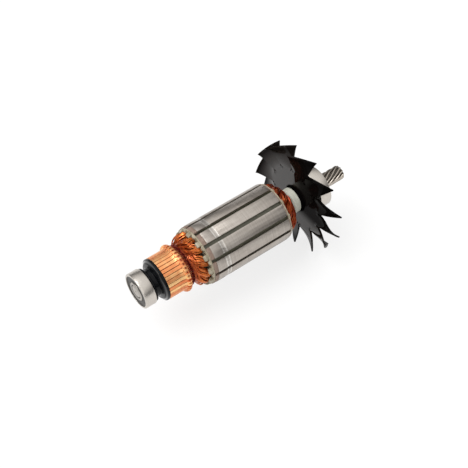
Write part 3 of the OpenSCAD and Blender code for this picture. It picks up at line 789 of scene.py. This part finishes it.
def wind_coil(name, turn, rng):
    """A mesh with all the strands of one coil, as closed loops."""
    curve = wire_curve(name, STRAND_D)
    ends = []
    for face, outward, flat, inward in zip(turn_faces, (-1, 1), (0, 0.06), (0, 0.6)):
        ends.append(bundle_frames(end_turn_rows(flat, inward, rng), (face, outward, turn)))
    for layer, count in enumerate(STRAND_LAYERS):
        for place in range(count):
            share = (2 * place + 1) / count - 1
            stray = 0.6 if layer == 0 and rng.random() < STRAY_SHARE else 0.17
            loop = []
            for frames, side in zip(ends, (1, -1)):
                loop += strand_end_turn(frames, share, layer, stray, side, rng)[::side]
            # Painted shade: lower layers, the bundle's sides and a few strands at random take the
            # shaded enamel.
            in_shade = layer > 0 or abs(share) > BUNDLE_SIDE or rng.random() < DARK_SHARE
            add_strand(curve, loop, int(in_shade), closed=True)
    return mesh_of_wires(curve)


winding_rng = random.Random(12)
for index in range(SLOTS):
    number = f"{index + 1:02d}"
    coil_mesh = wind_coil("wire_coil_" + number, ROTOR_TURN + index * SLOT_PITCH, winding_rng)
    add_piece(
        "wire_coil_" + number, coil_mesh, (winding_enamel, shaded_enamel), "rotor", ("coil_" + number,))
print("coils:", SLOTS, "with", sum(STRAND_LAYERS), "strands each")
print("faces in one coil:", len(coil_mesh.polygons))

# %% [markdown]
# ## Leads
#
# From every hook a dark varnished pair of wires runs round the neck and
# dives into the winding. Thirty-six pairs side by side make the dark woven
# collar between the commutator and the coils. The way of a lead is a few rows
# of a station behind the bars, a radius, and an angle on from its hook.

# %% Leads from the hooks to the winding
LEAD_WAY = [
    (-2.2, 13.1, 0), (-0.6, 12.7, 1), (0.3, 11.9, 5), (0.8, 11.2, 14), (1.4, 10.9, 26),
    (2.2, 11.0, 38), (3.4, 10.8, 50), (5.0, 10.2, 60),
]
LEAD_D = 0.48 * MM
LEADS_PER_BAR = 2
leads = wire_curve("leads", LEAD_D)
leads.use_fill_caps = True
lead_rng = random.Random(36)
lead_rows = sample_rows(LEAD_WAY)
for strand in range(LEADS_PER_BAR * BARS):
    lead_turn = BAR_TURN + BAR_PITCH * strand / LEADS_PER_BAR
    lift = lead_rng.uniform(-0.4, 0.5)
    stray = lead_rng.uniform(-9, 9)
    # Painted shade: about a third of the leads, at random, take the shaded enamel.
    finish_place = int(lead_rng.random() < 0.3)
    lead = []
    for index, (x, r, angle) in enumerate(lead_rows):
        share = index / len(lead_rows)
        lead.append(around(
            bars_rear + (x + share * 2 * lift) * MM, (r + share * lift) * MM,
            lead_turn + angle + share * stray))
    add_strand(leads, lead, finish_place)
add_piece("wire_leads", mesh_of_wires(leads), (lead_enamel, shaded_enamel), "rotor", ("coil_leads",))
print("leads:", LEADS_PER_BAR * BARS)

# %% [markdown]
# ## Commutator
#
# A bar is one copper extrusion: a straight brush track, then a riser that
# flares up to the hook. The hook is a tang of the same bar, folded back over
# its lead and pressed down. One bar and its hook are spun through a few
# degrees from their outlines, and copied round the shaft. So is the piece of
# wire that each hook holds.

# %% Commutator bars with their hooks
TRACK_R = 13.15
BAR_OUTLINE = [
    (0, 9.95), (0, TRACK_R), (8.9, TRACK_R), (10.6, 13.5), (11.7, 14.15), (12.6, 14.2),
    (13.9, 13.6), (15.2, 12.6), (16.4, 11.4), (16.6, 9.95),
]
HOOK_OUTLINE = [
    (11.0, 13.75), (11.25, 14.5), (11.9, 14.95), (12.8, 15.05), (13.7, 14.7), (14.2, 14.0),
    (13.8, 13.3), (13.1, 14.2), (12.4, 14.3),
]
BAR_WIDTH = BAR_PITCH * 0.86
HOOK_WIDTH = BAR_PITCH * 0.5
HELD_WIRE = BAR_PITCH * 0.9
HELD_WIRE_AT = (12.9, 14.25)
HELD_WIRE_R = 0.3


def bar_sector(shape, outline, degrees):
    """The first bar's sector of a turned outline, as its own closed solid."""
    outline = [(x + bars_front / MM, r) for x, r in outline]
    spin_outline(shape, outline, 3, BAR_TURN - degrees / 2, degrees)


bar = bmesh.new()
bar_sector(bar, BAR_OUTLINE, BAR_WIDTH)
bar_sector(bar, HOOK_OUTLINE, HOOK_WIDTH)
ring_of(bar, BARS)
add_piece(
    "copper_bars", mesh_of(bar, "copper_bars"), copper, "rotor", ("commutator_bars",), 0.13 * MM)

wire = bmesh.new()
wire_x, wire_r = HELD_WIRE_AT
wire_end = (
    Matrix.Rotation(math.radians(-HELD_WIRE / 2), 4, "X")
    @ Matrix.Translation(around(bars_front + wire_x * MM, wire_r * MM, BAR_TURN))
    @ Matrix.Rotation(math.pi / 2, 4, "X"))
bmesh.ops.create_circle(wire, segments=6, radius=HELD_WIRE_R * MM, cap_ends=True, matrix=wire_end)
bmesh.ops.spin(
    wire, geom=everything(wire), axis=(1, 0, 0), cent=(0, 0, 0), steps=3,
    angle=math.radians(HELD_WIRE), use_merge=False, use_duplicate=False)
bmesh.ops.recalc_face_normals(wire, faces=wire.faces)
ring_of(wire, BARS)
add_piece("hooked_wires", mesh_of(wire, "hooked_wires"), lead_enamel, "rotor")
print("bars:", BARS)

# %% [markdown]
# ## Cooling fan
#
# The fan is one moulding. Its disc is cut into twelve petals by slits that
# end in small round holes, and every petal twists towards its tip. One
# twelfth of it is a flat grid, bent by a formula: the rows run outwards from
# the hub, the columns across. Rows inside the disc reach right to the
# neighbours, so the copies join into one disc, and rows outside it stop at
# the slit. The sheet is then given its thickness, thick at the disc and thin
# at the tip.

# %% Fan
PETALS = 12
COLUMNS = 10
FAN_TURN = ROTOR_TURN + 6
HUB_R = 7.9
HUB_LENGTH = 7.1
DISC_R = 21.7
HOLE_R = 0.75
SLIT_INNER_R = 21.1
SLIT_OUTER_R = SLIT_INNER_R + 2 * HOLE_R
SLIT_HALF_WIDTH = 0.35
TIP_R = fan_radius / MM - 0.08
PETAL_SPAN = 24.0
PETAL_PITCH = math.radians(34.5)
PETAL_SWEEP = 1.0
DISC_MIDDLE = 2.25
HALF_THICK = 0.75
THINNED = 0.3
hub_front = sleeve_rear / MM


def petal_half_angle(r):
    """Half the angle that one petal spans at a radius, in degrees."""
    whole = 180 / PETALS
    if r < SLIT_INNER_R:
        return whole
    if r < SLIT_OUTER_R:
        from_hole = r - SLIT_INNER_R - HOLE_R
        gap = max(0.3, math.sqrt(max(0, HOLE_R ** 2 - from_hole ** 2)))
        return whole - math.degrees(gap / r)
    share = (r - SLIT_OUTER_R) / (TIP_R - SLIT_OUTER_R)
    narrowing = (whole - PETAL_SPAN / 2 - 0.7) * min(1, share * 1.15)
    return whole - math.degrees(SLIT_HALF_WIDTH / r) - narrowing


def petal_lift(r):
    """How far a radius is on the way from the disc's rim to the tip, from 0 to 1."""
    return max(0, (r - DISC_R) / (TIP_R - DISC_R))


def petal_spot(r, across):
    """Where a petal's middle sheet lies at a radius and a share from -1 to 1 across it."""
    lift = petal_lift(r)
    angle = across * petal_half_angle(r)
    twist = r * math.radians(angle) * math.tan(PETAL_PITCH * lift)
    crown = 0.5 * lift * (1 - across * across)
    station = hub_front + DISC_MIDDLE + PETAL_SWEEP * lift + twist - crown
    return around(station * MM, r * MM, FAN_TURN + angle)


def half_thickness(corner):
    """Half the sheet's thickness at one of its corners."""
    r = Vector((0, corner.co.y, corner.co.z)).length / MM
    return (HALF_THICK - THINNED * petal_lift(r)) * MM


radii = [HUB_R, 11, 15, 19]
radii += [SLIT_INNER_R + step for step in (-0.01, 0, 0.2, 0.75, 1.3, 1.5)]
while radii[-1] < TIP_R - 0.9:
    left = TIP_R - radii[-1]
    radii.append(radii[-1] + left / max(2, round(left / 0.95)))
radii.append(TIP_R)
petal = bmesh.new()
bmesh.ops.create_grid(petal, x_segments=len(radii) - 1, y_segments=COLUMNS, size=1)
for corner in petal.verts:
    row = round((corner.co.x + 1) / 2 * (len(radii) - 1))
    corner.co = petal_spot(radii[row], corner.co.y)
ring_of(petal, PETALS)
bmesh.ops.remove_doubles(petal, verts=petal.verts, dist=0.01 * MM)
bmesh.ops.recalc_face_normals(petal, faces=petal.faces)
if sum(face.normal.x for face in petal.faces) < 0:
    bmesh.ops.reverse_faces(petal, faces=petal.faces)
petal.normal_update()
lower = {corner: corner.normal.copy() for corner in petal.verts}
grown = bmesh.ops.extrude_face_region(petal, geom=petal.faces[:], use_keep_orig=True)
for item in grown["geom"]:
    if isinstance(item, bmesh.types.BMVert):
        item.co += item.normal * half_thickness(item)
for corner, normal in lower.items():
    corner.co -= normal * half_thickness(corner)
bmesh.ops.recalc_face_normals(petal, faces=petal.faces)
add_piece("fan_petals", mesh_of(petal, "fan_petals"), fan_plastic, "rotor", ("fan",), 0.16 * MM, 40)

HUB_OUTLINE = [
    (0, 5.55), (0, HUB_R), (1.45, HUB_R), (1.5, 9.0), (2.9, 9.4), (3.4, 8.6), (4.0, 8.1), (5.2, HUB_R),
    (HUB_LENGTH, HUB_R), (HUB_LENGTH, 5.55),
]
add_turned("fan_hub", [(x + hub_front, r) for x, r in HUB_OUTLINE], fan_plastic, "rotor", edge=0.2)
print("fan petals:", PETALS)

# %% [markdown]
# ## Ball bearings
#
# Each ring is ground all over, with rounded corners that catch the light as
# thin bright circles. The rubber seal sits a little below the ring's face: a
# raised lip outside, a shallow dish, and a thin lip that wipes the inner
# ring. The balls and the cage are hidden between the seals, so the packed
# ones stay.


# %% Ball bearings
def whole_outline(half, front, rear):
    """A whole outline from its front half, whose stations count from the face."""
    return [(front + x, r) for x, r in half] + [(rear - x, r) for x, r in reversed(half)]


def add_bearing(name, body, bore, outside, width, ball):
    """Rings and seals of one bearing, from its standard sizes in millimetres."""
    front = span(name + "_outer_ring")[0] / MM
    rear = front + width
    pitch_r = (bore + outside) / 4
    seat = pitch_r + ball * 0.4 + 0.6
    land = pitch_r - ball * 0.4
    bore_r = bore / 2
    outer_r = outside / 2
    outer_ring = [
        (0.92, seat - 0.55), (0.92, seat), (0, seat), (0, outer_r - 0.5), (0.14, outer_r - 0.16),
        (0.5, outer_r),
    ]
    inner_ring = [(0.3, bore_r + 0.02), (0, bore_r + 0.32), (0, land - 0.3), (0.3, land)]
    add_turned(
        name + "_ground_outer", whole_outline(outer_ring, front, rear), bearing_steel, body,
        (name + "_outer_ring",), 0.08)
    add_turned(
        name + "_ground_inner", whole_outline(inner_ring, front, rear), race_steel, "rotor",
        (name + "_inner_ring",), 0.08)
    for side, outer_face, inwards in (("_front_seal", front + 0.2, 1), ("_rear_seal", rear - 0.2, -1)):
        add_turned(name + side + "_lip", [(outer_face + inwards * x, r) for x, r in (
            (0.25, land + 0.14), (0.02, land + 0.45), (0.02, land + 0.8), (0.2, land + 1.0),
            (0.2, seat - 1.05), (0.02, seat - 0.85), (0.0, seat - 0.3), (0.12, seat - 0.06),
            (0.68, seat - 0.06), (0.68, land + 0.4), (0.4, land + 0.14),
        )], seal_rubber, body, (name + side,), 0.06)


add_bearing("front_bearing", "front_outer", 8, 22, 7, 3.969)
add_bearing("rear_bearing", "rear_outer", 10, 26, 8, 4.7625)
print("bearings: 2")

# %% [markdown]
# ## Dust shield
#
# The shield is turned from black plastic: a thin ring that faces the bearing,
# a deep waist, and a flange whose bevel shines.

# %% Dust shield
SHIELD_BORE_R = 5.05
SHIELD_OUTLINE = [
    (0, SHIELD_BORE_R), (0, 5.6), (0.4, 5.6), (0.45, 9.9), (0.7, 10.3), (1.3, 10.25), (1.55, 9.7),
    (1.7, 8.6), (2.2, 8.4), (4.1, 8.4), (4.5, 8.8), (4.9, 10.6), (4.9, 11.0), (5.3, 11.5),
    (6.1, 12.5), (6.3, 13.1),
]
shield_front, shield_rear = (place / MM for place in span("dust_shield"))
shield_outline = [(shield_front + x, r) for x, r in SHIELD_OUTLINE]
shield_outline += [(shield_rear - 0.25, 13.2), (shield_rear, 13.05), (shield_rear, SHIELD_BORE_R)]
add_turned("waisted_shield", shield_outline, shield_plastic, "rotor", ("dust_shield",), 0.14)
print("dust shield from", round(shield_front, 2), "to", round(shield_rear, 2), "mm")

# %% [markdown]
# ## Shaft and pinion
#
# The shaft is one turned piece up to the pinion, whose eleven teeth run round
# it in a helix. A tooth's outline is given by a few shares of the pitch and
# the depth, the whole outline is filled, and short extrusions, each turned a
# little further, draw it out. The last ones shrink to break the teeth's ends.

# %% Shaft and pinion
PINION_R = 4.6
TOOTH_DEPTH = 1.15
TEETH = 11
PINION_LENGTH = 15.6
HELIX_PER_MM = 6.9
SLICES = 40
BROKEN_END = 0.8
BROKEN_DEPTH = 0.4
TOOTH = [
    (-0.37, 0), (-0.27, 0.38), (-0.18, 0.85), (-0.08, 1),
    (0.08, 1), (0.18, 0.85), (0.27, 0.38), (0.37, 0),
]
shaft_front, shaft_end = (place / MM for place in span("shaft"))
pinion_front = shaft_end - PINION_LENGTH
root_r = PINION_R - TOOTH_DEPTH

pinion = bmesh.new()
rim = [
    pinion.verts.new(around(
        pinion_front * MM, (root_r + TOOTH_DEPTH * height) * MM,
        ROTOR_TURN + 360 / TEETH * (tooth + share)))
    for tooth in range(TEETH) for share, height in TOOTH
]
top = pinion.faces.new(rim)
slice_length = PINION_LENGTH / SLICES
slice_turn = Matrix.Rotation(math.radians(-HELIX_PER_MM * slice_length), 3, "X")
for slices_left in reversed(range(SLICES)):
    grown = bmesh.ops.extrude_face_region(pinion, geom=[top])["geom"]
    top = next(item for item in grown if isinstance(item, bmesh.types.BMFace))
    bmesh.ops.translate(pinion, verts=top.verts, vec=(slice_length * MM, 0, 0))
    bmesh.ops.rotate(pinion, verts=top.verts, cent=(0, 0, 0), matrix=slice_turn)
    share_left = slices_left * slice_length / BROKEN_END
    if share_left < 1:
        height = 1 - BROKEN_DEPTH * (1 - math.sqrt(share_left))
        allowed = (root_r + TOOTH_DEPTH * height) * MM
        for corner in top.verts:
            spoke = Vector((0, corner.co.y, corner.co.z))
            if spoke.length > allowed:
                corner.co -= spoke * (1 - allowed / spoke.length)
bmesh.ops.recalc_face_normals(pinion, faces=pinion.faces)
add_piece("helical_pinion", mesh_of(pinion, "helical_pinion"), pinion_steel, "rotor", ("shaft",))

FRONT_JOURNAL_R = 3.99
REAR_JOURNAL_R = 4.99
CORE_R = 5.49
SHOULDER_R = 6.5
front_journal_end = shaft_front + 7
core_front = bars_rear / MM + 2
shoulder_front = hub_front + HUB_LENGTH
rear_ring_front, rear_ring_end = (place / MM for place in span("rear_bearing_inner_ring"))
add_turned("turned_shaft", [
    (shaft_front + 1.3, 0), (shaft_front, 0.75), (shaft_front, 3.6),
    (shaft_front + 0.45, FRONT_JOURNAL_R), (front_journal_end, FRONT_JOURNAL_R),
    (front_journal_end, REAR_JOURNAL_R), (core_front, REAR_JOURNAL_R), (core_front, CORE_R),
    (shoulder_front, CORE_R), (shoulder_front, SHOULDER_R), (rear_ring_front, SHOULDER_R),
    (rear_ring_front, REAR_JOURNAL_R), (rear_ring_end + 0.2, REAR_JOURNAL_R),
    (rear_ring_end + 0.8, root_r - 0.1), (pinion_front + 0.5, root_r - 0.1), (pinion_front + 0.5, 0),
], shaft_steel, "rotor", ("shaft",), 0.08, 96)
print("pinion teeth:", TEETH)

# %% [markdown]
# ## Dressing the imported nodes
#
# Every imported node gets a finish, in its object's own material slot. Those
# that still show are inside, or need no softer edge.


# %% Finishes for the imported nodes
def dress(material, *names):
    """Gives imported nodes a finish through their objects' slots."""
    for name in names:
        packed = nodes[name]
        if not packed.material_slots:
            packed.data.materials.append(material)
        for material_slot in packed.material_slots:
            material_slot.link = "OBJECT"
            material_slot.material = material


for bearing in ("front_bearing_", "rear_bearing_"):
    dress(bearing_steel, bearing + "outer_ring", bearing + "inner_ring")
    dress(ball_steel, bearing + "balls")
    dress(cage_steel, bearing + "cage")
    dress(seal_rubber, bearing + "front_seal", bearing + "rear_seal")
dress(shaft_steel, "shaft")
dress(sleeve_plastic, "shaft_sleeve")
dress(lamination_steel, "lamination_stack")
dress(fibre_board, "front_end_plate", "rear_end_plate")
dress(insulator_plastic, "front_end_insulator", "rear_end_insulator")
dress(liner_paper, "slot_liners")
dress(wedge_plastic, "slot_wedges")
dress(bush_steel, "commutator_bush")
dress(hub_moulding, "commutator_hub")
dress(copper, "commutator_bars")
dress(mica, "mica_segments")
dress(lead_enamel, "coil_leads")
dress(winding_enamel, *(f"coil_{number:02d}" for number in range(1, SLOTS + 1)))
dress(shield_plastic, "dust_shield")
dress(fan_plastic, "fan")
print("packed nodes dressed")

# %% [markdown]
# ## Floor and light
#
# The armature lies on nothing here: it is held by its bearings. A wide pale
# floor just under the fan's lowest petal still grounds it with a soft shadow.
# It glows a little where it is seen or mirrored, so that its white stays even.
# The light is a bright sky with a broad soft key from the upper left, at a
# level where a white card would render white.


# %% Floor and light
FLOOR_HALF = 6.0
FLOOR_GAP = 0.4 * MM
FLOOR_GLOW = 0.75
plane = bmesh.new()
bmesh.ops.create_grid(plane, x_segments=1, y_segments=1, size=FLOOR_HALF)
bmesh.ops.translate(plane, verts=plane.verts, vec=(0, 0, -fan_radius - FLOOR_GAP))
floor = bpy.data.objects.new("floor", mesh_of(plane, "floor"))
bpy.context.scene.collection.objects.link(floor)
pale = Finish("pale_floor", Roughness=0.9)
grain = pale.clouds(0.02, detail=2)
pale.feed("Base Color", pale.blend(grain, (0.97, 0.97, 0.97), (1.0, 1.0, 1.0)))
glow = pale.node("ShaderNodeEmission", None, {"Color": (1, 1, 1, 1), "Strength": 1.0})
seen, mirrored, through = (
    pale.node("ShaderNodeLightPath", output=f"Is {kind} Ray")
    for kind in ("Camera", "Glossy", "Transmission"))
share = (seen + mirrored + through).math("MINIMUM", 1) * FLOOR_GLOW
surface = Signal(pale, pale.shader.outputs[0])
mixed = pale.node("ShaderNodeMixShader", None, {0: share, 1: surface, 2: glow})
floor_out = pale.tree.nodes["Material Output"]
pale.tree.links.new(mixed.socket, floor_out.inputs["Surface"])
floor.data.materials.append(pale.material)

world = bpy.data.worlds.new("studio")
world.use_nodes = True
bpy.context.scene.world = world
sky = world.node_tree
sky_place = sky.nodes.new("ShaderNodeTexCoord")
sky_axes = sky.nodes.new("ShaderNodeSeparateXYZ")
sky_ramp = sky.nodes.new("ShaderNodeValToRGB")
sky.links.new(sky_place.outputs["Generated"], sky_axes.inputs[0])
sky.links.new(sky_axes.outputs["Z"], sky_ramp.inputs["Fac"])
Finish.set_stops(sky_ramp.color_ramp, (
    (0.0, (0.10, 0.10, 0.10)), (0.3, (0.16, 0.16, 0.16)), (0.55, (0.62, 0.61, 0.60)),
    (0.8, (1.0, 0.99, 0.98)), (1.0, (1.0, 1.0, 1.0)),
))
sky.links.new(sky_ramp.outputs["Color"], sky.nodes["Background"].inputs["Color"])


def soft_sun(name, towards_light, strength, spread):
    """A distant lamp with a wide disc, in a direction from the object."""
    lamp_data = bpy.data.lights.new(name, "SUN")
    lamp_data.energy = strength
    lamp_data.angle = math.radians(spread)
    lamp = bpy.data.objects.new(name, lamp_data)
    lamp.rotation_euler = Vector(towards_light).to_track_quat("Z", "Y").to_euler()
    bpy.context.scene.collection.objects.link(lamp)


soft_sun("key", (-0.55, 0.25, 0.9), 1.7, 40)
soft_sun("fill", (-0.5, -0.8, 0.5), 0.4, 50)
print("floor, sky and 2 lamps")
